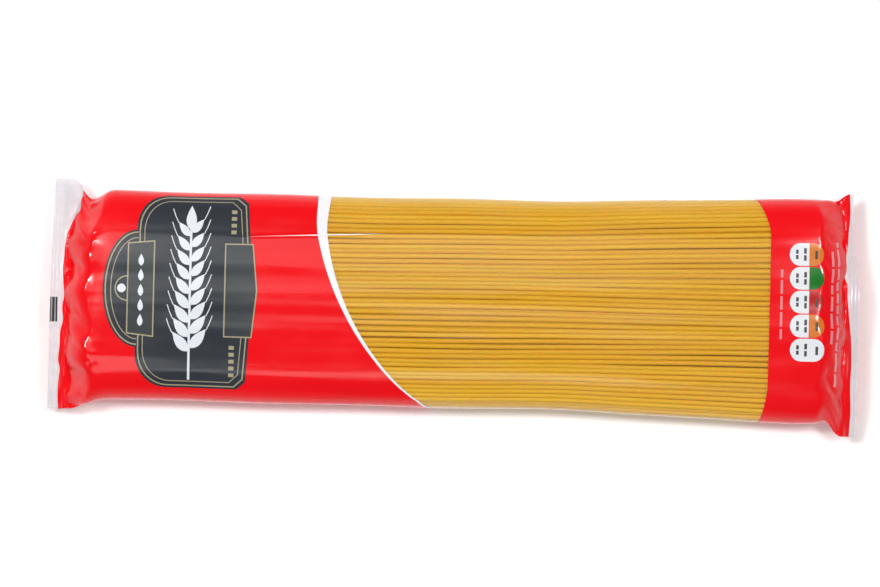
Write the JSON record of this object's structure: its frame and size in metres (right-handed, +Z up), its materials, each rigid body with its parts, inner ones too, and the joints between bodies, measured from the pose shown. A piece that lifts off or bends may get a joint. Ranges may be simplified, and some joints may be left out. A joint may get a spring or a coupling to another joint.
{
  "type": "pasta packet",
  "caption": "Sealed film packet of long pasta strands, lying flat, with a crimped fin across each end and a clear window along its length.",
  "frame": {"origin": "under the middle of the packet, on the surface it lies on", "axes": "+X along the strands towards the end with the row of small panels, +Y across the packet, +Z up out of its printed face"},
  "size_m": [0.281, 0.0842, 0.025],
  "materials": {
    "printed_film": "glossy printed polypropylene film, red with a clear window, a white stripe and a dark label"
  },
  "bodies": {
    "root": {"packet": "printed_film"}
  },
  "joints": []
}
